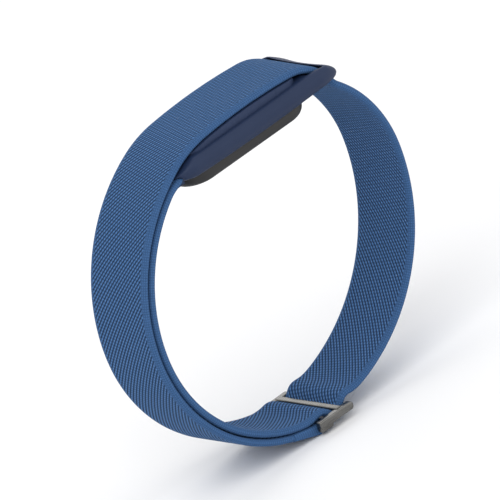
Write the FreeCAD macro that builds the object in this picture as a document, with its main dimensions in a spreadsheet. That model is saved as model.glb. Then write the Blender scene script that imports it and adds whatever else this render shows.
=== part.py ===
import FreeCAD, Part
import math
import os
import re
import Sketcher
from FreeCAD import Placement, Rotation, Vector

# Screenless fitness tracker on an elastic woven band.
# Millimetres. The origin is the centre of the wrist loop's round lower arc, +Z points up
# through the sensor pod, +Y runs along the wrist and +X along the pod.

SIZES = [
    ("band_width", 17.0, "woven band across the wrist axis"),
    ("band_thickness", 1.5, "woven band, one layer"),
    ("layer_gap", 0.2, "air between the two layers on the left side"),
    ("band_gap", 0.25, "air between the band and a hard part"),
    ("loop_bottom_x", -1.3, "where the loop is lowest"),
    ("loop_bottom_depth", 32.85, "loop's lowest centreline below the origin"),
    ("lower_left_radius", 28.85, "running layer, lower left"),
    ("upper_left_radius", 34.05, "running layer, upper left"),
    ("shoulder_heading", 24.8, "outer layer's slope where the shoulder starts"),
    ("shoulder_radius", 23.9, "outer layer, left shoulder of the pod"),
    ("top_heading", 5.0, "slope where the flat top starts"),
    ("top_radius", 125.4, "outer layer over the pod"),
    ("brow_heading", -5.6, "slope where the right brow starts"),
    ("brow_radius", 10.2, "band turning down into the slot"),
    ("slot_heading", -67.6, "steepest slope in the slot"),
    ("exit_radius", 4.0, "small reverse bend under the end bar"),
    ("exit_heading", -44.1, "slope where the right side starts"),
    ("tongue_heading", 35.0, "inner layer's slope where its end flattens"),
    ("tongue_radius", 8.0, "bend of the flattened end"),
    ("tongue_slope", 20.0, "slope of the clamped end"),
    ("tongue_length", 1.6, "straight clamped end"),
    ("lower_left_reach", 20.5, "lower stretch, left of the slider"),
    ("lower_right_reach", 28.5, "lower stretch, right of the slider"),
    ("dip_depth", 1.15, "band pushed outward under the crossbar"),
    ("dip_width", 2.1, "half width of that dip"),
    ("frame_left", -13.4, "carrier's left end"),
    ("frame_right", 29.8, "carrier's right end"),
    ("frame_width", 21.2, "carrier across the rails"),
    ("frame_floor", 24.9, "carrier's underside"),
    ("frame_height", 3.7, "carrier's rails"),
    ("frame_corner", 5.2, "carrier's corners in plan"),
    ("frame_round", 1.6, "rounding of the rails"),
    ("lip_height", 0.7, "ledge that stops the pod"),
    ("lip_width", 2.0, "ledge that stops the pod"),
    ("deck_width", 17.4, "deck under the band"),
    ("deck_left", -8.6, "deck's left end"),
    ("deck_right", 21.6, "deck's right end"),
    ("pod_gap", 0.2, "air between the pod and its carrier"),
    ("pod_length", 32.4, "pod along X"),
    ("pod_width", 17.4, "pod along Y"),
    ("pod_centre", 6.2, "pod's middle along X"),
    ("pod_floor", 21.6, "pod's underside"),
    ("pod_height", 6.2, "whole pod"),
    ("pod_corner", 5.6, "pod's corners in plan"),
    ("pod_belly", 2.0, "rounding of the pod's underside"),
    ("pod_crown", 0.6, "rounding of the pod's top"),
    ("lower_height", 3.6, "lower shell"),
    ("shell_wall", 1.2, "side walls"),
    ("shell_floor", 0.8, "floor of the lower shell"),
    ("shell_roof", 0.7, "roof of the upper shell"),
    ("gasket_wide", 0.5, "seal between the shells"),
    ("gasket_deep", 0.4, "seal between the shells"),
    ("gasket_inset", 0.35, "seal in from the outside"),
    ("window_length", 12.0, "optical window"),
    ("window_width", 7.6, "optical window"),
    ("window_corner", 2.2, "optical window"),
    ("window_thick", 0.75, "optical window"),
    ("fit_gap", 0.05, "glued and seated pieces"),
    ("contact_radius", 1.1, "charging contact"),
    ("contact_spacing", 6.0, "between the charging contacts"),
    ("contact_x", 10.4, "charging contacts from the pod's middle"),
    ("thermal_radius", 1.3, "skin temperature cap"),
    ("thermal_x", -10.2, "skin temperature cap from the pod's middle"),
    ("board_length", 28.4, "main board"),
    ("board_width", 13.2, "main board"),
    ("board_thick", 0.6, "main board"),
    ("board_rise", 0.8, "main board above the shell's floor"),
    ("board_corner", 3.4, "main board"),
    ("boss_radius", 1.3, "screw boss"),
    ("boss_x", 7.6, "screw bosses from the pod's middle"),
    ("boss_y", 5.2, "screw bosses from the pod's middle"),
    ("screw_radius", 0.5, "board screw"),
    ("screw_head", 0.9, "board screw head radius"),
    ("screw_head_high", 0.4, "board screw head"),
    ("baffle_wall", 0.7, "light baffle"),
    ("baffle_gap", 0.4, "baffle in from the window's edge"),
    ("led_side", 1.3, "each light"),
    ("led_high", 0.45, "each light"),
    ("led_spacing", 1.95, "between the lights"),
    ("diode_long", 2.0, "each photodiode"),
    ("diode_wide", 2.4, "each photodiode"),
    ("diode_high", 0.4, "each photodiode"),
    ("diode_x", 3.9, "photodiodes from the pod's middle"),
    ("chip_high", 0.7, "chips on the board"),
    ("processor_side", 5.0, "processor"),
    ("memory_long", 3.6, "memory chip"),
    ("memory_wide", 2.8, "memory chip"),
    ("motion_side", 2.2, "motion sensor"),
    ("radio_side", 3.0, "charging and radio chip"),
    ("battery_length", 18.4, "battery cell"),
    ("battery_width", 12.6, "battery cell"),
    ("battery_high", 2.1, "battery cell"),
    ("battery_x", -3.9, "battery from the pod's middle"),
    ("battery_air", 0.15, "battery above the tallest chip"),
    ("battery_corner", 1.0, "battery's rounded sides"),
    ("pad_thick", 0.25, "foam over the battery"),
    ("tab_length", 1.6, "battery's safety board"),
    ("tab_width", 8.0, "battery's safety board"),
    ("tab_high", 1.0, "battery's safety board"),
    ("antenna_length", 11.0, "antenna strip"),
    ("antenna_width", 1.6, "antenna strip"),
    ("antenna_thick", 0.15, "antenna strip"),
    ("motor_radius", 3.4, "haptic motor's case"),
    ("motor_high", 2.3, "haptic motor's case"),
    ("motor_x", 10.8, "haptic motor from the pod's middle"),
    ("motor_wall", 0.2, "haptic motor's case"),
    ("shaft_radius", 0.3, "haptic motor's shaft"),
    ("shaft_gap", 0.05, "rotor on its shaft"),
    ("rotor_radius", 2.9, "eccentric rotor"),
    ("rotor_high", 1.2, "eccentric rotor"),
    ("slider_length", 8.8, "slider along the band"),
    ("slider_centre", -0.2, "slider's middle along X"),
    ("rail_gap", 0.35, "air between the band's edge and a rail"),
    ("rail_thick", 1.5, "slider's rail across the band"),
    ("rail_high", 1.6, "slider's rail"),
    ("rail_top", -32.8, "slider's rail, wrist side"),
    ("rail_round", 0.35, "rounding of the slider"),
    ("lug_length", 3.4, "deeper left end of each rail"),
    ("lug_drop", 0.8, "deeper left end of each rail"),
    ("loop_bar_x", -3.2, "bar in the sewn end"),
    ("loop_bar_long", 2.0, "bar in the sewn end"),
    ("loop_bar_high", 0.8, "bar in the sewn end"),
    ("cross_bar_x", 1.2, "bar on the wrist side"),
    ("cross_bar_long", 1.2, "bar on the wrist side"),
    ("cross_bar_high", 0.8, "bar on the wrist side"),
    ("tail_bar_long", 1.0, "bar at the slider's right end"),
    ("tail_bar_high", 0.6, "bar at the slider's right end"),
    ("ply", 0.6, "one layer of the sewn end"),
    ("ply_gap", 0.1, "sewn end round its bar"),
    ("sewn_reach", 8.3, "sewn end, left of the loop's lowest point"),
    ("stitch_count", 9.0, "stitches in the bar tack"),
    ("stitch_long", 1.0, "each stitch across the band"),
    ("stitch_wide", 0.3, "each stitch"),
    ("stitch_high", 0.25, "each stitch"),
    ("stitch_margin", 1.6, "bar tack in from the selvedge"),
    ("cross_bar_sink", 0.2, "crossbar's underside below the rails' top"),
    ("clamp_drop", 1.2, "keeper's underside below the carrier"),
    ("clamp_thick", 0.6, "keeper under the band's end"),
    ("clamp_long", 2.8, "keeper under the band's end"),
    ("clamp_width", 13.0, "keeper under the band's end"),
    ("clamp_wall", 1.2, "carrier's left end wall"),
    ("clamp_screw_radius", 0.35, "keeper screw"),
    ("clamp_screw_y", 4.6, "keeper screws from the middle"),
    ("clamp_screw_long", 2.6, "keeper screw"),
    ("clamp_head", 0.6, "keeper screw's head radius"),
    ("clamp_head_high", 0.25, "keeper screw's head"),
    ("deck_corner", 3.5, "deck's corners in plan"),
    ("plug_height", 0.5, "deck's plug in the carrier's mouth"),
    ("contact_tail", 0.5, "contacts above the shell's floor"),
    ("processor_x", -3.0, "processor from the pod's middle"),
    ("memory_x", 2.6, "memory chip from the pod's middle"),
    ("memory_y", 2.9, "memory chip from the pod's middle"),
    ("power_x", -11.4, "power chip from the pod's middle"),
    ("rotor_angle", 180.0, "sweep of the eccentric weight, in degrees"),
    ("rotor_hub_wall", 0.6, "rotor's hub"),
]

ALIASES = {alias for alias, _, _ in SIZES}
TINY = 1e-6

doc = FreeCAD.newDocument("fitness_band")
sheet = doc.addObject("Spreadsheet::Sheet", "Sizes")
for row, (alias, value, meaning) in enumerate(SIZES, start=1):
    sheet.set(f"A{row}", alias)
    sheet.set(f"B{row}", str(value))
    sheet.set(f"C{row}", meaning)
    sheet.setAlias(f"B{row}", alias)
doc.recompute()


def size(alias):
    """One number from the sheet."""
    return float(sheet.get(alias))


def bound(expression):
    """An expression with each alias written the way the sheet's cells are reached."""
    return re.sub(r"[a-z_]+", lambda word: "Sizes." * (word[0] in ALIASES) + word[0], expression)


# ---------------------------------------------------------------- building blocks


def tie(thing, **fields):
    """Bind properties such as Length or Placement.Base.x to expressions of the sheet."""
    for name, expression in fields.items():
        thing.setExpression(name.replace("__", "."), bound(expression))


def place(thing, x, y, z):
    """Bind where an object stands."""
    tie(thing, Placement__Base__x=x, Placement__Base__y=y, Placement__Base__z=z)


def new_body(label, x, y, z):
    """An empty body of its own, standing where three expressions say."""
    body = doc.addObject("PartDesign::Body", label)
    body.Label = label
    place(body, x, y, z)
    return body


def origin_plane(body, role):
    """One of the body's own origin planes."""
    return next(f for f in body.Origin.OriginFeatures if f.Role == role)


def new_sketch(body, name, rise="0", role="XY_Plane"):
    """A sketch on an origin plane of the body, lifted along the plane's normal."""
    sketch = body.newObject("Sketcher::SketchObject", body.Label + "_" + name)
    sketch.AttachmentSupport = (origin_plane(body, role), [""])
    sketch.MapMode = "FlatFace"
    sketch.setExpression("AttachmentOffset.Base.z", bound(rise))
    return sketch


def draw_box(sketch, length, width, x="0", y="0"):
    """A rectangle held by its two lengths and the place of its middle."""
    first = sketch.GeometryCount
    corners = [Vector(-1, -1, 0), Vector(1, -1, 0), Vector(1, 1, 0), Vector(-1, 1, 0)]
    for i in range(4):
        sketch.addGeometry(Part.LineSegment(corners[i], corners[(i + 1) % 4]), False)
    for i in range(4):
        sketch.addConstraint(Sketcher.Constraint("Coincident", first + i, 2, first + (i + 1) % 4, 1))
    for i, way in enumerate(("Horizontal", "Vertical", "Horizontal", "Vertical")):
        sketch.addConstraint(Sketcher.Constraint(way, first + i))
    held = [
        (Sketcher.Constraint("DistanceX", first, 1, first, 2, 2.0), length),
        (Sketcher.Constraint("DistanceY", first + 1, 1, first + 1, 2, 2.0), width),
        (Sketcher.Constraint("DistanceX", -1, 1, first, 2, 1.0), f"({x}) + ({length}) / 2"),
        (Sketcher.Constraint("DistanceY", -1, 1, first + 1, 2, 1.0), f"({y}) + ({width}) / 2"),
    ]
    for constraint, expression in held:
        index = sketch.addConstraint(constraint)
        sketch.setExpression(f"Constraints[{index}]", bound(expression))


def pad(body, sketch, length):
    """Add a sketch's outline upwards."""
    feature = body.newObject("PartDesign::Pad", sketch.Name + "_pad")
    feature.Profile = sketch
    tie(feature, Length=length)
    sketch.Visibility = False
    doc.recompute()
    return feature


def upright(edge):
    """Whether an edge runs straight up."""
    a, b = edge.firstVertex().Point, edge.lastVertex().Point
    return isinstance(edge.Curve, Part.Line) and abs(a.x - b.x) + abs(a.y - b.y) < 1e-6


def level_at(z):
    """A test for edges that lie in a level plane."""
    return lambda edge: abs(edge.BoundBox.ZMin - z) < 1e-6 and abs(edge.BoundBox.ZMax - z) < 1e-6


def round_edges(body, radius, test):
    """Fillet the edges of the body's last feature that pass a test."""
    tip = body.Tip
    names = [f"Edge{i}" for i, e in enumerate(tip.Shape.Edges, start=1) if test(e)]
    if not names:
        raise RuntimeError(body.Label + " has no edge to round")
    feature = body.newObject("PartDesign::Fillet", tip.Name + "_round")
    feature.Base = (tip, names)
    tie(feature, Radius=radius)
    doc.recompute()
    return feature


def slab(label, x, y, z, length, width, height, corner=None):
    """A plate with rounded upright corners, as a body standing at its middle."""
    body = new_body(label, x, y, z)
    sketch = new_sketch(body, "outline")
    draw_box(sketch, length, width)
    pad(body, sketch, height)
    if corner:
        round_edges(body, corner, upright)
    return body


def block(label, x, y, z, length, width, height):
    """A plain box whose place is its middle in plan and its underside."""
    box = doc.addObject("Part::Box", label)
    box.Label = label
    tie(box, Length=length, Width=width, Height=height)
    place(box, f"{x} - ({length}) / 2", f"{y} - ({width}) / 2", z)
    return box


def disc(label, x, y, z, radius, height):
    """A plain upright cylinder."""
    cylinder = doc.addObject("Part::Cylinder", label)
    cylinder.Label = label
    tie(cylinder, Radius=radius, Height=height)
    place(cylinder, x, y, z)
    return cylinder


def fuse(label, pieces):
    """Several objects as one node."""
    joined = doc.addObject("Part::MultiFuse", label)
    joined.Label = label
    joined.Shapes = pieces
    joined.Refine = True
    doc.recompute()
    return joined


def cut(label, base, tool):
    """One object less another."""
    made = doc.addObject("Part::Cut", label)
    made.Label = label
    made.Base = base
    made.Tool = tool
    doc.recompute()
    return made


# ---------------------------------------------------------------- the band


class Trail:
    """A chain of tangent arcs and straights in the XZ plane, walked by its heading.

    The wrist loop is walked clockwise as seen along +Y, so a positive offset lies outside it.
    """

    def __init__(self, x, z, heading):
        self.x, self.z, self.heading = x, z, math.radians(heading)
        self.steps = []

    def turn(self, radius, to_heading):
        """An arc of a radius that ends at a heading in degrees."""
        end = math.radians(to_heading)
        side = 1.0 if end > self.heading else -1.0
        nx, nz = left_of(self.heading)
        cx, cz = self.x + side * radius * nx, self.z + side * radius * nz
        self.steps.append((cx, cz, radius, side, self.heading, end))
        nx, nz = left_of(end)
        self.x, self.z, self.heading = cx - side * radius * nx, cz - side * radius * nz, end
        return self

    def run(self, length):
        """A straight stretch."""
        start = (self.x, self.z)
        self.x += length * math.cos(self.heading)
        self.z += length * math.sin(self.heading)
        self.steps.append((start, (self.x, self.z), self.heading))
        return self

    def edges(self, offset):
        """The chain's edges, moved outward by an offset."""
        made = []
        for step in self.steps:
            if len(step) == 3:
                (ax, az), (bx, bz), heading = step
                nx, nz = left_of(heading)
                made.append(link(Vector(ax + offset * nx, 0, az + offset * nz),
                                 Vector(bx + offset * nx, 0, bz + offset * nz)))
                continue
            cx, cz, radius, side, start, end = step
            points = []
            for heading in (start, (start + end) / 2, end):
                nx, nz = left_of(heading)
                reach = offset - side * radius
                points.append(Vector(cx + reach * nx, 0, cz + reach * nz))
            made.append(Part.Arc(*points).toShape())
        return made


def left_of(heading):
    """The direction a quarter turn left of a heading in radians."""
    return -math.sin(heading), math.cos(heading)


def link(a, b):
    """A straight edge between two points."""
    return Part.LineSegment(a, b).toShape()


def start_of(edges):
    """Where a list of edges made along a trail starts."""
    return edges[0].valueAt(edges[0].FirstParameter)


def end_of(edges):
    """Where a list of edges made along a trail ends."""
    return edges[-1].valueAt(edges[-1].LastParameter)


def extruded(edges, across):
    """A closed outline in the XZ plane as a solid, centred across the wrist axis."""
    face = Part.Face(Part.Wire(Part.__sortEdges__(edges)))
    face.translate(Vector(0, -across / 2, 0))
    return face.extrude(Vector(0, across, 0))


def ribbon(trail, low, high, across, round_end=False):
    """The solid between two offsets of a trail."""
    inner, outer = trail.edges(low), trail.edges(high)
    a, b = end_of(inner), end_of(outer)
    finish = link(a, b)
    if round_end:
        ahead = Vector(math.cos(trail.heading), 0, math.sin(trail.heading)) * ((b - a).Length / 2)
        finish = Part.Arc(a, (a + b) / 2 + ahead, b).toShape()
    return extruded(inner + [link(start_of(inner), start_of(outer)), finish] + outer, across)


def shaped(label, shape):
    """An object whose shape is worked out here from the sheet's sizes."""
    thing = doc.addObject("Part::Feature", label)
    thing.Label = label
    thing.Shape = shape
    return thing


width = size("band_width")
half = size("band_thickness") / 2
pitch = size("band_thickness") + size("layer_gap")
gap = size("band_gap")
bottom_x, bottom_z = size("loop_bottom_x"), -size("loop_bottom_depth")
left_radius, upper_radius = size("lower_left_radius"), size("upper_left_radius")
outer_radius = left_radius + pitch


def lower_left(radius, reach):
    """A trail that starts left of the loop's lowest point, by a reach along the running layer."""
    heading = math.pi - reach / left_radius
    nx, nz = left_of(heading)
    return Trail(bottom_x + radius * nx, bottom_z + left_radius + radius * nz, math.degrees(heading))


# inner layer, from the lower stretch up to its clamped end
tongue = lower_left(left_radius, size("lower_left_reach"))
tongue.turn(left_radius, 90).turn(upper_radius, size("tongue_heading"))
tongue.turn(size("tongue_radius"), size("tongue_slope")).run(size("tongue_length"))
shaped("band_left_inner", ribbon(tongue, -half, half, width, round_end=True))

# outer layer, from the sewn end up to the pod's left shoulder
outer = lower_left(outer_radius, size("sewn_reach"))
outer.turn(outer_radius, 90).turn(upper_radius + pitch, size("shoulder_heading"))
shaped("band_left_outer", ribbon(outer, -half, half, width))

# over the pod, and down through the slot
over = Trail(outer.x, outer.z, size("shoulder_heading"))
over.turn(size("shoulder_radius"), size("top_heading")).turn(size("top_radius"), size("brow_heading"))
brow = Trail(over.x, over.z, size("brow_heading"))
for trail in (over, brow):
    trail.turn(size("brow_radius"), size("slot_heading")).turn(size("exit_radius"), size("exit_heading"))
shaped("band_over_pod", ribbon(over, -half, half, width))

# the right side, whose two radii close the loop
leave = math.radians(size("exit_heading"))
right_radius = (bottom_x - bottom_z - over.x + over.z) / (math.sin(leave) + 1 + math.cos(leave))
lower_radius = over.x + right_radius * (math.sin(leave) + 1) - bottom_x
right = Trail(over.x, over.z, size("exit_heading")).turn(right_radius, -90)
right.turn(lower_radius, -180 + math.degrees(size("lower_right_reach") / lower_radius))
shaped("band_right", ribbon(right, -half, half, width))


def lower_point(reach, offset):
    """A point of the lower stretch, by arc length from the loop's lowest point and by offset.

    The slider's crossbar pushes the band outward and the band bulges inward on both sides
    of it, which a wavelet of the distance from the crossbar gives.
    """
    radius = lower_radius if reach > 0 else left_radius
    away = (reach - size("cross_bar_x") + bottom_x) / size("dip_width")
    dip = size("dip_depth") * (1 - away**2) * math.exp(-(away**2) / 2)
    angle = reach / radius
    out = radius + dip + offset
    return Vector(bottom_x + out * math.sin(angle), 0, bottom_z + radius - out * math.cos(angle))


def lower_edge(offset):
    """A smooth edge along the lower stretch."""
    first, last = -size("lower_left_reach"), size("lower_right_reach")
    count = round(last - first)
    curve = Part.BSplineCurve()
    curve.interpolate([lower_point(first + (last - first) * i / count, offset) for i in range(count + 1)])
    return curve.toShape()


lower_in, lower_out = [lower_edge(-half)], [lower_edge(half)]
ends = [link(start_of(lower_in), start_of(lower_out)), link(end_of(lower_in), end_of(lower_out))]
shaped("band_lower", extruded(lower_in + lower_out + ends, width))


# ---------------------------------------------------------------- the slider

SLIDER_LEFT = "slider_centre - slider_length / 2"
SLIDER_RIGHT = "slider_centre + slider_length / 2"
RAIL_FLOOR = "rail_top - rail_high"
LUG_FLOOR = "rail_top - rail_high - lug_drop"
BAR_SPAN = "band_width + 2 * rail_gap + rail_thick"
metal = []
for name, sign in (("near", "-1"), ("far", "1")):
    side = f"{sign} * (band_width / 2 + rail_gap + rail_thick / 2)"
    metal.append(block(f"{name}_rail", "slider_centre", side, RAIL_FLOOR,
                       "slider_length", "rail_thick", "rail_high"))
    metal.append(block(f"{name}_lug", f"{SLIDER_LEFT} + lug_length / 2", side, LUG_FLOOR,
                       "lug_length", "rail_thick", "lug_drop + rail_high / 2"))
metal.append(block("loop_bar", "loop_bar_x", "0", LUG_FLOOR, "loop_bar_long", BAR_SPAN, "loop_bar_high"))
metal.append(block("cross_bar", "cross_bar_x", "0", "rail_top - cross_bar_sink", "cross_bar_long",
                   BAR_SPAN, "cross_bar_high"))
metal.append(block("tail_bar", f"{SLIDER_RIGHT} - tail_bar_long / 2", "0", RAIL_FLOOR,
                   "tail_bar_long", BAR_SPAN, "tail_bar_high"))
slider_blank = fuse("slider_blank", metal)


def slider_edges():
    """The long edges of the rails' outer faces."""
    reach = size("band_width") / 2 + size("rail_gap") + size("rail_thick")
    picked = []
    for number, edge in enumerate(slider_blank.Shape.Edges, start=1):
        box = edge.BoundBox
        if box.YLength < TINY and max(abs(box.YMin), abs(box.YMax)) > reach - TINY:
            picked.append(number)
    return picked


slider = doc.addObject("Part::Fillet", "slider_frame")
slider.Label = "slider_frame"
slider.Base = slider_blank
slider.Edges = [(number, size("rail_round"), size("rail_round")) for number in slider_edges()]

# the outer layer's sewn end, folded round the loop bar
eye_half = size("loop_bar_high") / 2 + size("ply_gap")
fold_half = eye_half + size("ply")
bar_z = size("rail_top") - size("rail_high") - size("lug_drop") + size("loop_bar_high") / 2
bar_start = size("loop_bar_x") - size("loop_bar_long") / 2
bar_end = size("loop_bar_x") + size("loop_bar_long") / 2
joint = outer.edges(-half), outer.edges(half)
joint_in, joint_out = start_of(joint[0]), start_of(joint[1])
fold_top = Vector(bar_start, 0, bar_z + fold_half), Vector(bar_end, 0, bar_z + fold_half)
fold_low = Vector(bar_end, 0, bar_z - fold_half), Vector(bar_start, 0, bar_z - fold_half)
fold = extruded([
    link(joint_out, joint_in),
    link(joint_in, fold_top[0]),
    link(*fold_top),
    Part.Arc(fold_top[1], Vector(bar_end + fold_half, 0, bar_z), fold_low[0]).toShape(),
    link(*fold_low),
    link(fold_low[1], joint_out),
], width)
eye = Part.makeBox(size("loop_bar_long") + 2 * size("ply_gap"), width, 2 * eye_half,
                   Vector(bar_start - size("ply_gap"), -width / 2, bar_z - eye_half))
shaped("band_end_loop", fold.cut(eye))

# a row of stitches across the sewn end's outer face, halfway from the joint to the eye
seam = (joint_out + fold_low[1]) / 2
seam_slope = math.degrees(math.atan2(fold_low[1].z - joint_out.z, fold_low[1].x - joint_out.x))
seam_turn = Rotation(Vector(0, 1, 0), -seam_slope)
seam_seat = seam_turn.multVec(Vector(-size("stitch_wide") / 2, 0, -size("stitch_high")))
seam_long = width - 2 * size("stitch_margin") - size("stitch_long")
last_stitch = int(size("stitch_count")) - 1
stitches = []
for i in range(last_stitch + 1):
    stitch = doc.addObject("Part::Box", f"stitch_{i + 1}")
    tie(stitch, Length="stitch_wide", Width="stitch_long", Height="stitch_high")
    stitch_y = seam_long * (i / last_stitch - 0.5) - size("stitch_long") / 2
    stitch.Placement = Placement(seam + seam_seat + Vector(0, stitch_y, 0), seam_turn)
    stitches.append(stitch)
tack = doc.addObject("Part::Compound", "bar_tack")
tack.Label = "bar_tack"
tack.Links = stitches


# ---------------------------------------------------------------- the carrier

FRAME_TOP = "frame_floor + frame_height"
LEDGE = "frame_floor + frame_height - lip_height"
frame_blank = slab("carrier_blank", "(frame_left + frame_right) / 2", "0", "frame_floor",
                   "frame_right - frame_left", "frame_width", "frame_height", "frame_corner")
round_edges(frame_blank, "frame_round", level_at(size("frame_height")))
round_edges(frame_blank, "frame_round", level_at(0))
well = slab("pod_well", "pod_centre", "0", "frame_floor - 1", "pod_length + 2 * pod_gap",
            "pod_width + 2 * pod_gap", "frame_height - lip_height + 1", "pod_corner + pod_gap")
mouth = slab("deck_mouth", "pod_centre", "0", "frame_floor", "pod_length + 2 * pod_gap - 2 * lip_width",
             "pod_width + 2 * pod_gap - 2 * lip_width", "frame_height + 1",
             "pod_corner + pod_gap - lip_width")

# room for the band: through the slot, over the left end, and where its end is clamped
roof = Trail(outer.x, outer.z, size("shoulder_heading"))
roof.turn(size("shoulder_radius"), size("top_heading")).turn(size("top_radius"), size("brow_heading"))
sky = 3 * size("band_thickness")
slot_room = shaped("slot_room", ribbon(brow, -half - gap, half + gap, width + 2 * gap))
left_room = shaped("left_room", ribbon(outer, -half - gap, sky, 2 * width))
roof_room = shaped("roof_room", ribbon(roof, -half - gap, sky, 2 * width))
tongue_room = shaped("tongue_room", ribbon(tongue, -half - size("fit_gap"), half + size("fit_gap"),
                                           2 * width, round_end=True))
clamp_x = "pod_centre - pod_length / 2 - pod_gap - clamp_wall / 2"
holes = []
for name, sign in (("near", "-1"), ("far", "1")):
    holes.append(disc(f"{name}_clamp_hole", clamp_x, f"{sign} * clamp_screw_y", "frame_floor - clamp_drop",
                      "clamp_screw_radius + fit_gap", "clamp_screw_long"))
frame_room = fuse("frame_room", [well, mouth, slot_room, left_room, roof_room, tongue_room] + holes)
cut("carrier_frame", frame_blank, frame_room)

# keeper under the band's clamped end, with a rib up to the carrier's end wall, and its screws
keeper = fuse("keeper_blank", [
    block("keeper_plate", f"{clamp_x} + clamp_wall / 2 - clamp_long / 2", "0",
          "frame_floor - clamp_drop", "clamp_long", "clamp_width", "clamp_thick"),
    block("keeper_rib", clamp_x, "0", "frame_floor - clamp_drop", "clamp_wall", "clamp_width", "clamp_drop"),
])
keeper_holes = fuse("keeper_holes", [
    disc(f"{name}_keeper_hole", clamp_x, f"{sign} * clamp_screw_y", "frame_floor - clamp_drop - 1",
         "clamp_screw_radius + fit_gap", "clamp_screw_long")
    for name, sign in (("near", "-1"), ("far", "1"))
])
cut("band_keeper", keeper, keeper_holes)
keeper_screws = []
for name, sign in (("near", "-1"), ("far", "1")):
    shank = disc(f"{name}_keeper_shank", clamp_x, f"{sign} * clamp_screw_y", "frame_floor - clamp_drop",
                 "clamp_screw_radius", "clamp_screw_long - fit_gap")
    head = disc(f"{name}_keeper_head", clamp_x, f"{sign} * clamp_screw_y",
                "frame_floor - clamp_drop - clamp_head_high", "clamp_head", "clamp_head_high")
    keeper_screws.append(fuse(f"{name}_keeper_screw", [shank, head]))
screws = doc.addObject("Part::Compound", "keeper_screws")
screws.Label = "keeper_screws"
screws.Links = keeper_screws

# the deck that the band lies on, crowned to the band's underside, with a plug in the mouth
deck_blank = slab("deck_blank", "(deck_left + deck_right) / 2", "0", FRAME_TOP,
                  "deck_right - deck_left", "deck_width", "band_thickness + lip_height", "deck_corner")
deck_plug = slab("deck_plug", "pod_centre", "0", f"{FRAME_TOP} - plug_height",
                 "pod_length + 2 * pod_gap - 2 * lip_width - 2 * fit_gap",
                 "pod_width + 2 * pod_gap - 2 * lip_width - 2 * fit_gap", "plug_height",
                 "pod_corner + pod_gap - lip_width - fit_gap")
deck_room = shaped("deck_room", ribbon(over, -half - size("fit_gap"), sky, 2 * width))
cut("carrier_deck", fuse("deck_raw", [deck_blank, deck_plug]), deck_room)


# ---------------------------------------------------------------- the pod's shells

SEAM = "pod_floor + lower_height"
SIDES = (("rear_near", "-1", "-1"), ("rear_far", "-1", "1"), ("front_near", "1", "-1"), ("front_far", "1", "1"))


def frame_ring(label, x, z, length, across, corner, wall, height):
    """A flat rounded frame of one wall thickness."""
    outside = slab(label + "_outside", x, "0", z, length, across, height, corner)
    inside = slab(label + "_inside", x, "0", f"{z} - 1", f"{length} - 2 * ({wall})",
                  f"{across} - 2 * ({wall})", f"{height} + 2", f"{corner} - ({wall})")
    return cut(label, outside, inside)


def along(offset):
    """A place along the pod, from its middle."""
    return f"pod_centre + ({offset})"


lower = slab("lower_blank", "pod_centre", "0", "pod_floor", "pod_length", "pod_width", "lower_height",
             "pod_corner")
round_edges(lower, "pod_belly", level_at(0))
hollow = slab("lower_hollow", "pod_centre", "0", "pod_floor + shell_floor", "pod_length - 2 * shell_wall",
              "pod_width - 2 * shell_wall", "lower_height", "pod_corner - shell_wall")
lower_cup = cut("lower_cup", lower, hollow)
bosses = [
    disc(f"{name}_boss", along(f"{sx} * boss_x"), f"{sy} * boss_y", "pod_floor + shell_floor / 2",
         "boss_radius", "shell_floor / 2 + board_rise")
    for name, sx, sy in SIDES
]
openings = [
    frame_ring("gasket_groove", "pod_centre", f"{SEAM} - gasket_deep / 2", "pod_length - 2 * gasket_inset",
               "pod_width - 2 * gasket_inset", "pod_corner - gasket_inset", "gasket_wide", "gasket_deep"),
    slab("window_hole", "pod_centre", "0", "pod_floor - 1", "window_length + 2 * fit_gap",
         "window_width + 2 * fit_gap", "shell_floor + 2", "window_corner + fit_gap"),
    disc("thermal_hole", along("thermal_x"), "0", "pod_floor - 1", "thermal_radius + fit_gap",
         "shell_floor + 2"),
]
for name, sign in (("near", "-1"), ("far", "1")):
    openings.append(disc(f"{name}_contact_hole", along("contact_x"), f"{sign} * contact_spacing / 2",
                         "pod_floor - 1", "contact_radius + fit_gap", "shell_floor + 2"))
for name, sx, sy in SIDES:
    openings.append(disc(f"{name}_boss_hole", along(f"{sx} * boss_x"), f"{sy} * boss_y",
                         "pod_floor + shell_floor", "screw_radius + fit_gap", "board_rise + 1"))
cut("pod_lower_shell", fuse("lower_bossed", [lower_cup] + bosses), fuse("lower_openings", openings))

upper = slab("upper_blank", "pod_centre", "0", f"{SEAM} + fit_gap", "pod_length", "pod_width",
             "pod_height - lower_height - fit_gap", "pod_corner")
round_edges(upper, "pod_crown", level_at(size("pod_height") - size("lower_height") - size("fit_gap")))
cavity = slab("upper_cavity", "pod_centre", "0", f"{SEAM} - 1", "pod_length - 2 * shell_wall",
              "pod_width - 2 * shell_wall", "pod_height - lower_height - shell_roof + 1",
              "pod_corner - shell_wall")
upper_groove = frame_ring("upper_groove", "pod_centre", f"{SEAM} - gasket_deep / 2",
                          "pod_length - 2 * gasket_inset", "pod_width - 2 * gasket_inset",
                          "pod_corner - gasket_inset", "gasket_wide", "gasket_deep")
cut("pod_upper_shell", upper, fuse("upper_openings", [cavity, upper_groove]))
frame_ring("pod_gasket", "pod_centre", f"{SEAM} - gasket_deep / 2", "pod_length - 2 * gasket_inset",
           "pod_width - 2 * gasket_inset", "pod_corner - gasket_inset", "gasket_wide", "gasket_deep")

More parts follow.
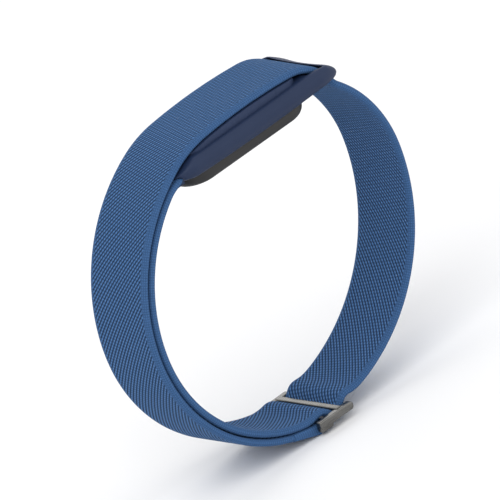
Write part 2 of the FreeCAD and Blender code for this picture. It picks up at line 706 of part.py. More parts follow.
slab("sensor_window", "pod_centre", "0", "pod_floor", "window_length", "window_width", "window_thick",
     "window_corner")
contacts = []
for name, sign in (("near", "-1"), ("far", "1")):
    contacts.append(disc(f"{name}_contact", along("contact_x"), f"{sign} * contact_spacing / 2",
                         "pod_floor", "contact_radius", "shell_floor + contact_tail"))
charge = doc.addObject("Part::Compound", "charge_contacts")
charge.Label = "charge_contacts"
charge.Links = contacts
disc("thermal_cap", along("thermal_x"), "0", "pod_floor", "thermal_radius", "shell_floor + contact_tail")


# ---------------------------------------------------------------- inside the pod

BOARD_FLOOR = "pod_floor + shell_floor + board_rise"
BOARD_TOP = "pod_floor + shell_floor + board_rise + board_thick"
board_blank = slab("board_blank", "pod_centre", "0", BOARD_FLOOR, "board_length", "board_width",
                   "board_thick", "board_corner")
board_holes = fuse("board_holes", [
    disc(f"{name}_board_hole", along(f"{sx} * boss_x"), f"{sy} * boss_y", f"{BOARD_FLOOR} - 1",
         "screw_radius + fit_gap", "board_thick + 2")
    for name, sx, sy in SIDES
])
cut("main_board", board_blank, board_holes)

board_screws = []
for name, sx, sy in SIDES:
    shank = disc(f"{name}_shank", along(f"{sx} * boss_x"), f"{sy} * boss_y",
                 f"{BOARD_FLOOR} - board_rise", "screw_radius", "board_rise + board_thick")
    head = disc(f"{name}_head", along(f"{sx} * boss_x"), f"{sy} * boss_y", BOARD_TOP, "screw_head",
                "screw_head_high")
    board_screws.append(fuse(f"{name}_board_screw", [shank, head]))
fasteners = doc.addObject("Part::Compound", "board_screws")
fasteners.Label = "board_screws"
fasteners.Links = board_screws

# light baffle round the window, with two walls between the lights and the photodiodes
BAFFLE_FLOOR = "pod_floor + shell_floor"
BAFFLE_LONG = "window_length - 2 * baffle_gap"
BAFFLE_WIDE = "window_width - 2 * baffle_gap"
baffle_frame = frame_ring("baffle_frame", "pod_centre", BAFFLE_FLOOR, BAFFLE_LONG, BAFFLE_WIDE,
                          "window_corner - baffle_gap", "baffle_wall", "board_rise")
walls = []
for name, sign in (("rear", "-1"), ("front", "1")):
    wall_x = f"{sign} * (led_side / 2 + diode_x - diode_long / 2) / 2"
    walls.append(block(f"{name}_baffle_wall", along(wall_x), "0", BAFFLE_FLOOR, "baffle_wall",
                       f"{BAFFLE_WIDE} - baffle_wall", "board_rise"))
fuse("optical_baffle", [baffle_frame] + walls)

lights = []
for name, row in (("near", "-1"), ("middle", "0"), ("far", "1")):
    lights.append(block(f"{name}_light", "pod_centre", f"{row} * led_spacing", f"{BOARD_FLOOR} - led_high",
                        "led_side", "led_side", "led_high"))
leds = doc.addObject("Part::Compound", "sensor_leds")
leds.Label = "sensor_leds"
leds.Links = lights
diodes = []
for name, sign in (("rear", "-1"), ("front", "1")):
    diodes.append(block(f"{name}_diode", along(f"{sign} * diode_x"), "0", f"{BOARD_FLOOR} - diode_high",
                        "diode_long", "diode_wide", "diode_high"))
photo = doc.addObject("Part::Compound", "photodiodes")
photo.Label = "photodiodes"
photo.Links = diodes

for label, x, y, long, wide in (
    ("processor_chip", "processor_x", "0", "processor_side", "processor_side"),
    ("memory_chip", "memory_x", "memory_y", "memory_long", "memory_wide"),
    ("motion_sensor", "memory_x", "-1 * memory_y", "motion_side", "motion_side"),
    ("power_chip", "power_x", "0", "radio_side", "radio_side"),
):
    block(label, along(x), y, BOARD_TOP, long, wide, "chip_high")

BATTERY_FLOOR = "pod_floor + shell_floor + board_rise + board_thick + chip_high + battery_air"
battery = slab("battery_cell", along("battery_x"), "0", BATTERY_FLOOR, "battery_length", "battery_width",
               "battery_high")
round_edges(battery, "battery_corner", lambda edge: isinstance(edge.Curve, Part.Line)
            and edge.BoundBox.XLength > size("battery_length") / 2)
block("battery_foam", along("battery_x"), "0", f"{BATTERY_FLOOR} + battery_high",
      "battery_length - 2 * battery_corner", "battery_width - 4 * battery_corner", "pad_thick")
block("battery_safety_board", along("battery_x + battery_length / 2 + tab_length / 2"), "0",
      BATTERY_FLOOR, "tab_length", "tab_width", "tab_high")
block("antenna_strip", along("motor_x"), "0", "pod_floor + pod_height - shell_roof - antenna_thick",
      "antenna_width", "antenna_length", "antenna_thick")

# coin vibration motor: a case on the board, a shaft and an eccentric half-disc rotor
MOTOR_X = along("motor_x")
motor_can = disc("motor_can", MOTOR_X, "0", BOARD_TOP, "motor_radius", "motor_high")
motor_hollow = disc("motor_hollow", MOTOR_X, "0", f"{BOARD_TOP} + motor_wall", "motor_radius - motor_wall",
                    "motor_high - 2 * motor_wall")
cut("motor_case", motor_can, motor_hollow)
disc("motor_shaft", MOTOR_X, "0", f"{BOARD_TOP} + motor_wall", "shaft_radius", "motor_high - 2 * motor_wall")
ROTOR_FLOOR = f"{BOARD_TOP} + (motor_high - rotor_high) / 2"
rotor_disc = disc("rotor_disc", MOTOR_X, "0", ROTOR_FLOOR, "rotor_radius", "rotor_high")
tie(rotor_disc, Angle="rotor_angle")
rotor_hub = disc("rotor_hub", MOTOR_X, "0", ROTOR_FLOOR, "shaft_radius + shaft_gap + rotor_hub_wall",
                 "rotor_high")
rotor_bore = disc("rotor_bore", MOTOR_X, "0", f"{ROTOR_FLOOR} - 1", "shaft_radius + shaft_gap",
                  "rotor_high + 2")
cut("haptic_rotor", fuse("rotor_blank", [rotor_disc, rotor_hub]), rotor_bore)


# ---------------------------------------------------------------- checks and files

NODES = [
    "band_left_inner", "band_left_outer", "band_over_pod", "band_right", "band_lower",
    "slider_frame", "band_end_loop", "bar_tack", "carrier_frame", "carrier_deck", "band_keeper",
    "keeper_screws", "pod_lower_shell", "pod_upper_shell", "pod_gasket", "sensor_window",
    "charge_contacts", "thermal_cap", "main_board", "board_screws", "optical_baffle", "sensor_leds",
    "photodiodes", "processor_chip", "memory_chip", "motion_sensor", "power_chip", "battery_cell",
    "battery_foam", "battery_safety_board", "antenna_strip", "motor_case", "motor_shaft",
    "haptic_rotor",
]

doc.recompute()
for thing in doc.Objects:
    if "Invalid" in thing.State or "Error" in thing.State:
        raise RuntimeError(f"{thing.Label} could not be built: {thing.State}")
os.makedirs("parts", exist_ok=True)
for label in NODES:
    node = doc.getObjectsByLabel(label)[0]
    if node.Shape.isNull() or not node.Shape.isValid():
        raise RuntimeError(label + " has no valid shape")
    node.Shape.exportStep(os.path.join("parts", label + ".step"))
    box = node.Shape.BoundBox
    print(f"{label:22s} solids {len(node.Shape.Solids):2d} volume {node.Shape.Volume:9.2f} "
          f"x {box.XMin:7.2f} {box.XMax:7.2f} y {box.YMin:6.2f} {box.YMax:6.2f} "
          f"z {box.ZMin:7.2f} {box.ZMax:7.2f}")
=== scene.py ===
"""The visual model of a fitness tracker band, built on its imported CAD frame.

Lengths are given in millimetres in the finishes and sizes below and turned into metres where a mesh is made.
"""

from __future__ import annotations

import logging
import math
from dataclasses import dataclass, field
from enum import Enum
from typing import Iterable, Sequence

import bmesh
import bpy
import numpy as np
from mathutils import Matrix, Vector

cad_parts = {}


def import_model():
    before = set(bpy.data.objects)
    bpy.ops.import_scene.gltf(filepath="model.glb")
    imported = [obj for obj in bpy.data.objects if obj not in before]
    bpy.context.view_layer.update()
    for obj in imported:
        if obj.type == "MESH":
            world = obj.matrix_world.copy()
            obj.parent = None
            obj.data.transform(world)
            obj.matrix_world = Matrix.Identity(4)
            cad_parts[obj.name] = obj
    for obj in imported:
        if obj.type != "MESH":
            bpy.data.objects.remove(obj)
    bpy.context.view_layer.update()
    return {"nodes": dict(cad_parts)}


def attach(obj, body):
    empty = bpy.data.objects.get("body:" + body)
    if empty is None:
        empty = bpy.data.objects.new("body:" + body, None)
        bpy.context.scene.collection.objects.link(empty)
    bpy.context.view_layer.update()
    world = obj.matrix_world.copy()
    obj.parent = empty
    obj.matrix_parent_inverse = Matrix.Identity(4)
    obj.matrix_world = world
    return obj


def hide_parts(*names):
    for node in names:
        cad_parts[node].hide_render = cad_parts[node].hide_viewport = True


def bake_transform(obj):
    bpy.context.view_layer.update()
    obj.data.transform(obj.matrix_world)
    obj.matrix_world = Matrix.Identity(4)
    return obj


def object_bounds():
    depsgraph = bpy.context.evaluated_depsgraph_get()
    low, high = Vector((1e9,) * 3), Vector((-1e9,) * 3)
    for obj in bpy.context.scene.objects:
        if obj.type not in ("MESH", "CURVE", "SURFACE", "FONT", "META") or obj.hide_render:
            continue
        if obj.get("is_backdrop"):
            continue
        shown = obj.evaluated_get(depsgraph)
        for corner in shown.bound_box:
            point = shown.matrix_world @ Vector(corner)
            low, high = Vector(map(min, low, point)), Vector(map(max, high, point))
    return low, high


LOG = logging.getLogger("tracker_band")
MM = 0.001


# ---------------------------------------------------------------- finishes


class Surface(Enum):
    """The families of finish, each with its own node network."""

    WOVEN = "woven"
    MOULDED = "moulded"
    BRUSHED = "brushed"
    GLASSY = "glassy"
    FOIL = "foil"


@dataclass(frozen=True)
class Finish:
    """One material's look.

    Args:
        name: the material's name.
        surface: which node network it uses.
        base: linear base colour; on the knit, the colour of the grooves between ribs, which is partly painted
            shade.
        accent: linear colour of the lighter yarns, worn edges or flecks.
        roughness: the mean roughness.
        metallic: 1 for metals.
        grain: height of the fine texture in millimetres.
        scale: how many texture features lie in a millimetre.
        coat: weight of a clear coat.
    """

    name: str
    surface: Surface
    base: tuple[float, float, float]
    accent: tuple[float, float, float]
    roughness: float
    metallic: float = 0.0
    grain: float = 0.01
    scale: float = 4.0
    coat: float = 0.0


# The knit's base colour is the dark of the grooves between its ribs. It is partly the yarn's own colour and
# partly painted shade.
STRAP = Finish("band_knit", Surface.WOVEN, (0.005, 0.015, 0.040), (0.092, 0.218, 0.480), 0.9, grain=0.26)
THREAD = Finish(
    "band_thread", Surface.MOULDED, (0.022, 0.050, 0.120), (0.08, 0.16, 0.32), 0.85, grain=0.02, scale=9
)
NAVY = Finish(
    "carrier_navy", Surface.MOULDED, (0.009, 0.020, 0.056), (0.026, 0.044, 0.102), 0.56, grain=0.006
)
CHARCOAL = Finish(
    "pod_charcoal", Surface.MOULDED, (0.022, 0.022, 0.022), (0.050, 0.050, 0.051), 0.5, grain=0.008
)
GUNMETAL = Finish(
    "slider_metal", Surface.BRUSHED, (0.095, 0.094, 0.090), (0.225, 0.220, 0.208), 0.28, 1.0, 0.002, 9
)
SEAL = Finish("seal_rubber", Surface.MOULDED, (0.012, 0.012, 0.012), (0.03, 0.03, 0.03), 0.75)
WINDOW = Finish("window_dark", Surface.GLASSY, (0.008, 0.008, 0.010), (0.02, 0.02, 0.03), 0.08, coat=0.6)
GOLD = Finish("contact_plate", Surface.BRUSHED, (0.78, 0.56, 0.22), (0.95, 0.75, 0.40), 0.25, 1.0, 0.002, 8)
SCREW = Finish("screw_steel", Surface.BRUSHED, (0.52, 0.52, 0.53), (0.70, 0.70, 0.71), 0.30, 1.0, 0.002, 8)
BOARD = Finish("board_green", Surface.MOULDED, (0.010, 0.085, 0.045), (0.03, 0.16, 0.08), 0.38, coat=0.3)
CHIP = Finish("chip_black", Surface.MOULDED, (0.016, 0.016, 0.018), (0.04, 0.04, 0.04), 0.55)
BAFFLE = Finish("baffle_black", Surface.MOULDED, (0.008, 0.008, 0.008), (0.02, 0.02, 0.02), 0.8)
LAMP = Finish("light_lens", Surface.GLASSY, (0.25, 0.55, 0.20), (0.40, 0.70, 0.30), 0.12, coat=0.5)
DIODE = Finish("diode_lens", Surface.GLASSY, (0.06, 0.02, 0.035), (0.10, 0.05, 0.07), 0.12, coat=0.5)
FOIL = Finish("battery_foil", Surface.FOIL, (0.55, 0.55, 0.57), (0.75, 0.75, 0.76), 0.32, 1.0, 0.03, 0.8)
FOAM = Finish(
    "foam_grey", Surface.MOULDED, (0.07, 0.07, 0.075), (0.13, 0.13, 0.13), 0.95, grain=0.05, scale=3
)
COPPER = Finish(
    "antenna_copper", Surface.BRUSHED, (0.62, 0.26, 0.13), (0.80, 0.42, 0.26), 0.30, 1.0, 0.002, 8
)
CAN = Finish("motor_steel", Surface.BRUSHED, (0.50, 0.50, 0.51), (0.68, 0.68, 0.68), 0.28, 1.0, 0.002, 5)
ALLOY = Finish("rotor_tungsten", Surface.BRUSHED, (0.16, 0.16, 0.16), (0.30, 0.30, 0.30), 0.5, 1.0, 0.006, 5)

NODE_FINISHES: dict[str, Finish] = {
    "carrier_deck": NAVY, "band_keeper": NAVY, "keeper_screws": SCREW,
    "pod_lower_shell": CHARCOAL, "pod_upper_shell": CHARCOAL, "pod_gasket": SEAL, "sensor_window": WINDOW,
    "charge_contacts": GOLD, "thermal_cap": GOLD, "main_board": BOARD, "board_screws": SCREW,
    "optical_baffle": BAFFLE, "sensor_leds": LAMP, "photodiodes": DIODE, "processor_chip": CHIP,
    "memory_chip": CHIP, "motion_sensor": CHIP, "power_chip": CHIP, "battery_cell": FOIL,
    "battery_foam": FOAM, "battery_safety_board": BOARD, "antenna_strip": COPPER, "motor_case": CAN,
    "motor_shaft": SCREW, "haptic_rotor": ALLOY,
}

Value = "float | bpy.types.NodeSocket"


class Graph:
    """A short way to write a node tree."""

    def __init__(self, tree: bpy.types.NodeTree) -> None:
        self.tree = tree

    def node(self, kind: str, **settings: object) -> bpy.types.Node:
        """Adds a node.

        Args:
            kind: the node's type name.
            settings: attributes to set on it.

        Returns:
            The node.
        """
        made = self.tree.nodes.new(kind)
        for name, value in settings.items():
            setattr(made, name, value)
        return made

    def put(self, socket: bpy.types.NodeSocket, value: Value) -> None:
        """Links a socket to an input, or sets the input's value."""
        if isinstance(value, bpy.types.NodeSocket):
            self.tree.links.new(value, socket)
        else:
            socket.default_value = value

    def math(self, operation: str, a: Value, b: Value = 0.0) -> bpy.types.NodeSocket:
        """The result of a math node on one or two values."""
        made = self.node("ShaderNodeMath", operation=operation)
        self.put(made.inputs[0], a)
        self.put(made.inputs[1], b)
        return made.outputs[0]

    def wave(self, turns: Value) -> bpy.types.NodeSocket:
        """A cosine from 0 to 1 of a number of whole turns."""
        angle = self.math("MULTIPLY", turns, 2 * math.pi)
        return self.math("ADD", self.math("MULTIPLY", self.math("COSINE", angle), 0.5), 0.5)

    def mix(self, factor: Value, a: Value, b: Value) -> bpy.types.NodeSocket:
        """A number between a and b."""
        made = self.node("ShaderNodeMix", data_type="FLOAT")
        for place, value in ((0, factor), (2, a), (3, b)):
            self.put(made.inputs[place], value)
        return made.outputs[0]

    def blend(self, factor: Value, a: Sequence[float], b: Sequence[float]) -> bpy.types.NodeSocket:
        """A colour between a and b."""
        made = self.node("ShaderNodeMix", data_type="RGBA")
        self.put(made.inputs["Factor"], factor)
        made.inputs[6].default_value = (*a, 1.0)
        made.inputs[7].default_value = (*b, 1.0)
        return made.outputs[2]

    def ramp(self, value: Value, low: float, high: float) -> bpy.types.NodeSocket:
        """A smooth step from 0 at low to 1 at high."""
        made = self.node("ShaderNodeMapRange", interpolation_type="SMOOTHSTEP")
        self.put(made.inputs["Value"], value)
        made.inputs["From Min"].default_value = low
        made.inputs["From Max"].default_value = high
        return made.outputs["Result"]


def new_group(name: str, inputs: Sequence[tuple[str, str, float | None]], outputs: Sequence[str]) -> tuple:
    """Starts a shader node group.

    Args:
        name: the group's name.
        inputs: each input's name, socket type and default.
        outputs: the names of the float outputs.

    Returns:
        The graph, its input node and its output node.
    """
    tree = bpy.data.node_groups.new(name, "ShaderNodeTree")
    for label, kind, default in inputs:
        item = tree.interface.new_socket(label, in_out="INPUT", socket_type=kind)
        if default is not None:
            item.default_value = default
    for label in outputs:
        tree.interface.new_socket(label, in_out="OUTPUT", socket_type="NodeSocketFloat")
    graph = Graph(tree)
    return graph, graph.node("NodeGroupInput"), graph.node("NodeGroupOutput")


def weave_group() -> bpy.types.NodeTree:
    """The strap's weave: diagonal ribs of dotted yarn between plain selvedges, from a UV map in metres."""
    graph, given, made = new_group("DiagonalWeave", [
        ("UV", "NodeSocketVector", None), ("Pitch", "NodeSocketFloat", 0.00070),
        ("Half Width", "NodeSocketFloat", 0.0085), ("Selvedge", "NodeSocketFloat", 0.0010),
    ], ["Height", "Light", "Selvedge"])
    split = graph.node("ShaderNodeSeparateXYZ")
    graph.put(split.inputs[0], given.outputs["UV"])
    along, across = split.outputs[0], split.outputs[1]
    slant = graph.math("ADD", graph.math("MULTIPLY", along, 0.66), graph.math("MULTIPLY", across, 0.751))
    cross = graph.math("SUBTRACT", graph.math("MULTIPLY", along, 0.751), graph.math("MULTIPLY", across, 0.66))
    row = graph.math("DIVIDE", slant, given.outputs["Pitch"])
    rib = graph.wave(row)
    step = graph.math("MULTIPLY", graph.math("ROUND", row), 0.5)
    beat = graph.math("DIVIDE", cross, graph.math("MULTIPLY", given.outputs["Pitch"], 1.15))
    knot = graph.wave(graph.math("ADD", beat, step))
    twill = graph.math("MULTIPLY", rib, graph.math("ADD", graph.math("MULTIPLY", knot, 0.60), 0.40))
    twill = graph.math("POWER", twill, 0.85)
    cord = graph.wave(graph.math("DIVIDE", across, 0.00042))
    pick = graph.wave(graph.math("DIVIDE", along, 0.00050))
    plain = graph.math("ADD", graph.math("MULTIPLY", graph.math("MULTIPLY", cord, pick), 0.30), 0.34)
    inset = graph.math("SUBTRACT", given.outputs["Half Width"], given.outputs["Selvedge"])
    past = graph.math("SUBTRACT", graph.math("ABSOLUTE", across), inset)
    edge = graph.ramp(past, -0.00008, 0.00008)
    graph.put(made.inputs["Height"], graph.mix(edge, twill, graph.math("MULTIPLY", plain, 0.75)))
    # Light follows the ribs' height, so the grooves between ribs are darker. This is painted shade in the
    # grooves on top of the yarn's pattern.
    graph.put(made.inputs["Light"], graph.mix(edge, twill, plain))
    graph.put(made.inputs["Selvedge"], edge)
    return graph.tree


def grain_group() -> bpy.types.NodeTree:
    """Fine grain and slow tone changes, from object coordinates."""
    graph, _, made = new_group("FineGrain", [("Scale", "NodeSocketFloat", 4000.0)], ["Height", "Tone"])
    given = graph.tree.nodes["Group Input"]
    spot = graph.node("ShaderNodeTexCoord")
    fine = graph.node("ShaderNodeTexNoise")
    fine.inputs["Detail"].default_value = 4.0
    graph.put(fine.inputs["Vector"], spot.outputs["Object"])
    graph.put(fine.inputs["Scale"], given.outputs["Scale"])
    slow = graph.node("ShaderNodeTexNoise")
    slow.inputs["Scale"].default_value = 170.0
    slow.inputs["Detail"].default_value = 3.0
    graph.put(slow.inputs["Vector"], spot.outputs["Object"])
    graph.put(made.inputs["Height"], fine.outputs[0])
    graph.put(made.inputs["Tone"], slow.outputs[0])
    return graph.tree


def wear_group() -> bpy.types.NodeTree:
    """A mask that is bright on handled edges, broken up by noise."""
    graph, given, made = new_group("EdgeWear", [("Amount", "NodeSocketFloat", 0.5)], ["Mask"])
    shape = graph.node("ShaderNodeNewGeometry")
    spot = graph.node("ShaderNodeTexCoord")
    noise = graph.node("ShaderNodeTexNoise")
    noise.inputs["Scale"].default_value = 900.0
    graph.put(noise.inputs["Vector"], spot.outputs["Object"])
    ridge = graph.ramp(shape.outputs["Pointiness"], 0.505, 0.60)
    broken = graph.math("MULTIPLY", ridge, graph.math("ADD", noise.outputs[0], 0.3))
    graph.put(made.inputs["Mask"], graph.math("MULTIPLY", broken, given.outputs["Amount"]))
    return graph.tree


def brush_group() -> bpy.types.NodeTree:
    """Fine scratches that run along X, from object coordinates."""
    graph, given, made = new_group("BrushLines", [("Scale", "NodeSocketFloat", 6000.0)], ["Height"])
    spot = graph.node("ShaderNodeTexCoord")
    stretch = graph.node("ShaderNodeMapping")
    stretch.inputs["Scale"].default_value = (0.04, 1.0, 1.0)
    graph.put(stretch.inputs["Vector"], spot.outputs["Object"])
    lines = graph.node("ShaderNodeTexNoise")
    lines.inputs["Detail"].default_value = 5.0
    graph.put(lines.inputs["Vector"], stretch.outputs[0])
    graph.put(lines.inputs["Scale"], given.outputs["Scale"])
    graph.put(made.inputs["Height"], lines.outputs[0])
    return graph.tree


@dataclass
class Paints:
    """Makes each finish's material once.

    Args:
        made: the materials made so far, by finish name.
        groups: the shared shader node groups, by name.
    """

    made: dict[str, bpy.types.Material] = field(default_factory=dict)
    groups: dict[str, bpy.types.NodeTree] = field(default_factory=dict)

    def group(self, graph: Graph, name: str) -> bpy.types.Node:
        """A node that uses a shared group."""
        makers = {"weave": weave_group, "grain": grain_group, "wear": wear_group, "brush": brush_group}
        if name not in self.groups:
            self.groups[name] = makers[name]()
        return graph.node("ShaderNodeGroup", node_tree=self.groups[name])

    def get(self, finish: Finish) -> bpy.types.Material:
        """The material of a finish.

        Args:
            finish: the look wanted.

        Returns:
            The material, made on the first call.
        """
        if finish.name not in self.made:
            self.made[finish.name] = self._make(finish)
        return self.made[finish.name]

    def _make(self, finish: Finish) -> bpy.types.Material:
        material = bpy.data.materials.new(finish.name)
        material.use_nodes = True
        material.diffuse_color = (*finish.accent, 1.0)
        graph = Graph(material.node_tree)
        shader = material.node_tree.nodes["Principled BSDF"]
        shader.inputs["Roughness"].default_value = finish.roughness
        shader.inputs["Metallic"].default_value = finish.metallic
        shader.inputs["Coat Weight"].default_value = finish.coat
        bump = graph.node("ShaderNodeBump")
        bump.inputs["Distance"].default_value = finish.grain * MM
        bump.inputs["Strength"].default_value = 0.8
        grain = self.group(graph, "grain")
        grain.inputs["Scale"].default_value = finish.scale * 1000
        if finish.surface is Surface.WOVEN:
            weave = self.group(graph, "weave")
            spot = graph.node("ShaderNodeUVMap", uv_map="Strap")
            graph.put(weave.inputs["UV"], spot.outputs["UV"])
            tone = graph.math("MULTIPLY", graph.math("SUBTRACT", grain.outputs["Height"], 0.5), 0.35)
            # The colour runs from base in the grooves to accent on the ribs: the yarn's pattern plus painted
            # shade in the grooves.
            light = graph.math("ADD", weave.outputs["Light"], tone)
            colour = graph.blend(light, finish.base, finish.accent)
            height = graph.math(
                "ADD", weave.outputs["Height"], graph.math("MULTIPLY", grain.outputs["Height"], 0.25)
            )
            shader.inputs["Sheen Weight"].default_value = 0.12
            shader.inputs["Sheen Roughness"].default_value = 0.4
            shader.inputs["Sheen Tint"].default_value = (0.30, 0.55, 0.95, 1.0)
            shader.inputs["Specular IOR Level"].default_value = 0.12
        elif finish.surface is Surface.BRUSHED:
            brush = self.group(graph, "brush")
            brush.inputs["Scale"].default_value = finish.scale * 1000
            height = brush.outputs["Height"]
            tone = graph.math(
                "ADD", graph.math("MULTIPLY", height, 0.6), graph.math("MULTIPLY", grain.outputs["Tone"], 0.4)
            )
            colour = graph.blend(graph.ramp(tone, 0.15, 0.85), finish.base, finish.accent)
            rough = graph.math("ADD", graph.math("MULTIPLY", height, 0.18), finish.roughness - 0.09)
            graph.put(shader.inputs["Roughness"], rough)
        else:
            wear = self.group(graph, "wear")
            slow = graph.math("MULTIPLY", grain.outputs["Tone"], 0.25)
            tone = graph.math("ADD", slow, wear.outputs["Mask"])
            colour = graph.blend(tone, finish.base, finish.accent)
            height = grain.outputs["Tone"] if finish.surface is Surface.FOIL else grain.outputs["Height"]
            shader.inputs["Specular IOR Level"].default_value = 0.28
            rough = graph.math(
                "ADD", graph.math("MULTIPLY", grain.outputs["Height"], 0.14), finish.roughness - 0.07
            )
            graph.put(shader.inputs["Roughness"], rough)
        graph.put(shader.inputs["Base Color"], colour)
        graph.put(bump.inputs["Height"], height)
        graph.put(shader.inputs["Normal"], bump.outputs[0])
        return material


# ---------------------------------------------------------------- the band's line


@dataclass(frozen=True)
class BandSizes:
    """The band's sizes in millimetres; angles are headings in degrees."""

    width: float = 17.0
    thickness: float = 1.5
    pitch: float = 1.7
    bottom_x: float = -1.3
    bottom_z: float = -32.85
    left_radius: float = 28.85
    upper_radius: float = 34.05
    lower_left_reach: float = 20.5
    lower_right_reach: float = 28.5
    sewn_reach: float = 8.3
    bar_x: float = 1.2
    dip_depth: float = 1.4
    dip_width: float = 2.1


BAND = BandSizes()


def left_of(heading: float) -> tuple[float, float]:
    """The direction a quarter turn left of a heading in radians."""
    return -math.sin(heading), math.cos(heading)


@dataclass
class Trail:
    """Tangent arcs and straights in the XZ plane, walked clockwise as seen along +Y.

    Args:
        x: where it is now.
        z: where it is now.
        heading: where it points, in degrees.
        spots: the points passed so far.
    """

    x: float
    z: float
    heading: float
    spots: list[tuple[float, float]] = field(default_factory=list)

    def turn(self, radius: float, to_heading: float) -> Trail:
        """Follows an arc to a heading in degrees."""
        begin, end = math.radians(self.heading), math.radians(to_heading)
        side = 1.0 if end > begin else -1.0
        nx, nz = left_of(begin)
        cx, cz = self.x + side * radius * nx, self.z + side * radius * nz
        count = max(6, math.ceil(abs(end - begin) * radius / 0.5))
        for i in range(count + 1):
            nx, nz = left_of(begin + (end - begin) * i / count)
            self.spots.append((cx - side * radius * nx, cz - side * radius * nz))
        self.x, self.z = self.spots[-1]
        self.heading = to_heading
        return self

    def run(self, length: float) -> Trail:
        """Follows a straight."""
        heading = math.radians(self.heading)
        self.x += length * math.cos(heading)
        self.z += length * math.sin(heading)
        self.spots.append((self.x, self.z))
        return self


def lower_left(radius: float, reach: float) -> Trail:
    """A trail that starts left of the loop's lowest point, by a reach along the running layer."""
    angle = reach / BAND.left_radius
    centre = BAND.bottom_z + BAND.left_radius
    return Trail(
        BAND.bottom_x - radius * math.sin(angle), centre - radius * math.cos(angle), 180 - math.degrees(angle)
    )


@dataclass(frozen=True)
class BandLines:
    """The three stretches of the band, as points of their middle line in millimetres."""

    outer: list[tuple[float, float]]
    right: list[tuple[float, float]]
    inner: list[tuple[float, float]]


def band_lines() -> BandLines:
    """Works out the band's middle line, which the slider's bar parts at its lowest stretch."""
    outer_radius = BAND.left_radius + BAND.pitch
    outer = lower_left(outer_radius, BAND.sewn_reach)
    outer.turn(outer_radius, 90).turn(BAND.upper_radius + BAND.pitch, 24.8)
    outer.turn(23.9, 5.0).turn(125.4, -5.6).turn(10.2, -67.6).turn(4.0, -44.1)
    leave = math.radians(-44.1)
    right_radius = (
        BAND.bottom_x - BAND.bottom_z - outer.x + outer.z
    ) / (math.sin(leave) + 1 + math.cos(leave))
    lower_radius = outer.x + right_radius * (math.sin(leave) + 1) - BAND.bottom_x
    right = Trail(outer.x, outer.z, -44.1).turn(right_radius, -90)
    right.turn(lower_radius, -180 + math.degrees(BAND.lower_right_reach / lower_radius))

    def lower(reach: float) -> tuple[float, float]:
        radius = lower_radius if reach > 0 else BAND.left_radius
        away = (reach - BAND.bar_x + BAND.bottom_x) / BAND.dip_width
        out = radius + BAND.dip_depth * (1 - away**2) * math.exp(-(away**2) / 2)
        angle = reach / radius
        return BAND.bottom_x + out * math.sin(angle), BAND.bottom_z + radius - out * math.cos(angle)

    parting = BAND.bar_x - BAND.bottom_x
    right_low = [lower(r) for r in np.linspace(BAND.lower_right_reach, parting, 80)]
    left_low = [lower(r) for r in np.linspace(parting, -BAND.lower_left_reach, 70)]
    tongue = lower_left(BAND.left_radius, BAND.lower_left_reach)
    tongue.turn(BAND.left_radius, 90).turn(BAND.upper_radius, 35).turn(8.0, 20).run(1.6)
    return BandLines(outer.spots, right.spots + right_low, left_low + tongue.spots)


# ---------------------------------------------------------------- mesh building


def finished(
    name: str, mesh: bpy.types.Mesh, material: bpy.types.Material, smooth: float = 38.0
) -> bpy.types.Object:
    """Puts a mesh in the scene with its material.

    Args:
        name: the object's name.
        mesh: its mesh, in the frame's coordinates.
        material: its material.
        smooth: edges sharper than this stay crisp, in degrees.

    Returns:
        The object, at the origin.
    """
    mesh.materials.clear()
    mesh.materials.append(material)
    mesh.polygons.foreach_set("use_smooth", [True] * len(mesh.polygons))
    mesh.set_sharp_from_angle(angle=math.radians(smooth))
    piece = bpy.data.objects.new(name, mesh)
    bpy.context.scene.collection.objects.link(piece)
    return piece


def resampled(
    spots: Sequence[tuple[float, float]], spacing: float
) -> tuple[np.ndarray, np.ndarray, np.ndarray]:
    """Evens out a line.

    Args:
        spots: its points.
        spacing: the step wanted.

    Returns:
        The points, their outward directions and the length up to each.
    """
    raw = np.array(spots, float)
    keep = np.concatenate([[True], np.linalg.norm(np.diff(raw, axis=0), axis=1) > 1e-6])
    raw = raw[keep]
    length = np.concatenate([[0.0], np.cumsum(np.linalg.norm(np.diff(raw, axis=0), axis=1))])
    count = max(4, round(length[-1] / spacing))
    at = np.linspace(0.0, length[-1], count + 1)
    line = np.stack([np.interp(at, length, raw[:, 0]), np.interp(at, length, raw[:, 1])], axis=1)
    ahead = np.gradient(line, at, axis=0)
    ahead /= np.linalg.norm(ahead, axis=1)[:, None]
    return line, np.stack([-ahead[:, 1], ahead[:, 0]], axis=1), at


@dataclass(frozen=True)
class StrapShape:
    """How a length of strap is swept.

    Args:
        width: across the wrist.
        thickness: through the cloth.
        selvedge: width of the plain edge.
        step: how far the plain edge lies below the ribs.
        start: length along the strap where its weave starts, so that stretches match.
        round_end: True for a tongue with a round end.
    """

    width: float = BAND.width
    thickness: float = BAND.thickness
    selvedge: float = 1.0
    step: float = 0.06
    start: float = 0.0
    round_end: bool = False


def strap_outline(shape: StrapShape) -> tuple[np.ndarray, np.ndarray]:
    """The strap's section as a ring.

    Args:
        shape: the strap's sizes.

    Returns:
        The ring's points (across, outward) and each one's place across the weave.
    """
    half, radius = shape.width / 2, shape.thickness / 2
    flat = half - radius
    face = np.linspace(-flat, flat, 33)
    drop = shape.step / (1 + np.exp((half - shape.selvedge - np.abs(face)) / 0.06))
    top = [(y, radius - d, y) for y, d in zip(face, drop)]
    low = [(y, -radius + d, y) for y, d in zip(face[::-1], drop[::-1])]
    trimmed = radius - shape.step
    turn = np.linspace(0, math.pi, 13)[1:-1]
    side = [(radius * math.sin(a), trimmed * math.cos(a), radius * min(a, math.pi - a)) for a in turn]
    right = [(flat + y, h, flat + v) for y, h, v in side]
    left = [(-flat - y, -h, -flat - v) for y, h, v in side]
    ring = np.array(top + right + low + left)
    return ring[:, :2], ring[:, 2]


